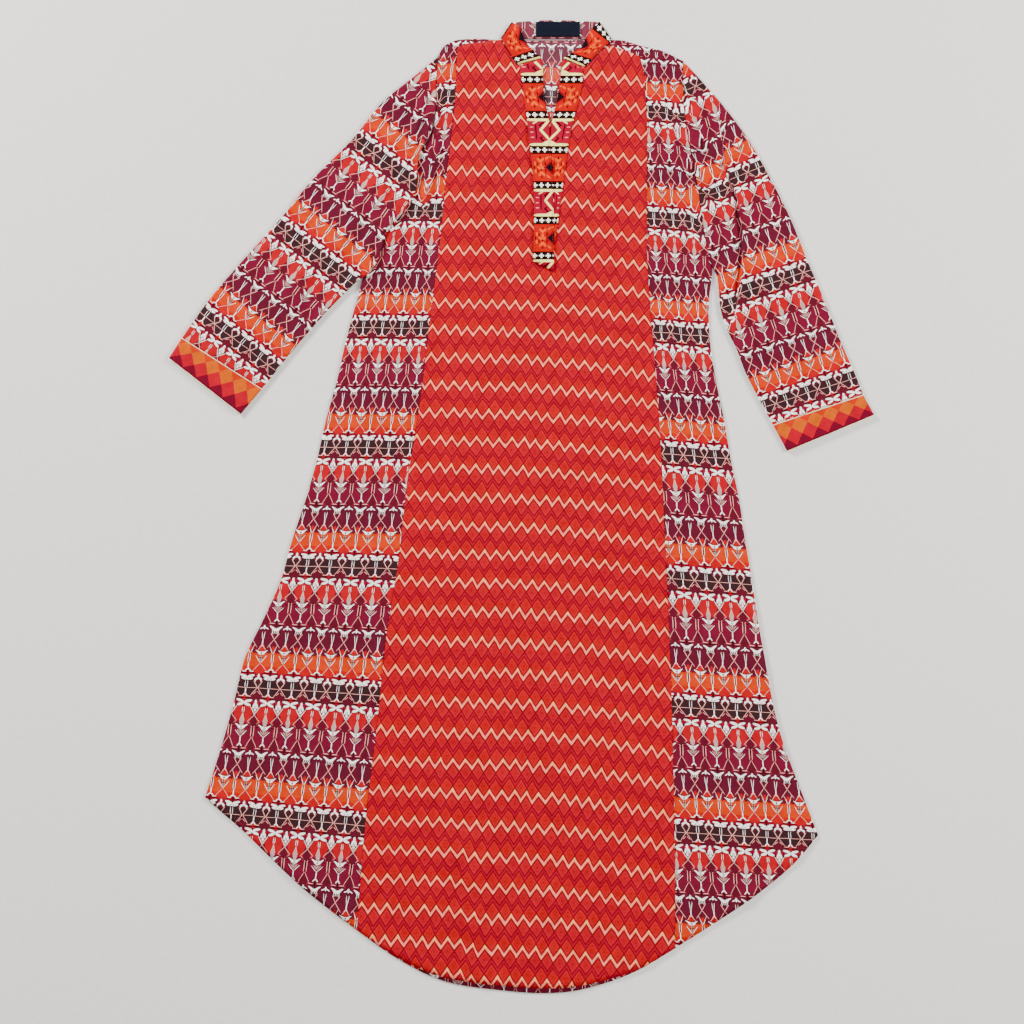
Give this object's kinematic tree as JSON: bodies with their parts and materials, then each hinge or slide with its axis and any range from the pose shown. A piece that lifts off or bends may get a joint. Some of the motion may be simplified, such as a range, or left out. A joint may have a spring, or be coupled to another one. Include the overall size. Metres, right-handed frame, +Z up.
{
  "type": "kurta dress",
  "caption": "Long kurta dress laid flat, with a printed centre panel between banded side panels, three-quarter sleeves with border cuffs, a stand collar and a placket.",
  "frame": {"origin": "middle of the underside's bounding box, on the surface that the dress lies on", "axes": "+Y from the hem to the neck, +X to the viewer's right looking down, +Z up from the surface"},
  "size_m": [0.942, 1.3, 0.0083],
  "materials": {
    "banded_print": "matt printed viscose",
    "zigzag_print": "matt printed viscose",
    "diamond_border": "matt printed viscose",
    "neck_border": "matt printed viscose",
    "woven_label": "woven satin tape",
    "piping": "matt cord edge and sewing thread"
  },
  "bodies": {
    "root": {"back_panel": "banded_print", "front_centre_panel": "zigzag_print", "front_side_left": "banded_print", "front_side_right": "banded_print", "sleeve_left": "banded_print", "sleeve_right": "banded_print", "cuff_left": "diamond_border", "cuff_right": "diamond_border", "collar_band": "neck_border", "placket_left": "neck_border", "placket_right": "neck_border", "neck_label": "woven_label"}
  },
  "joints": []
}
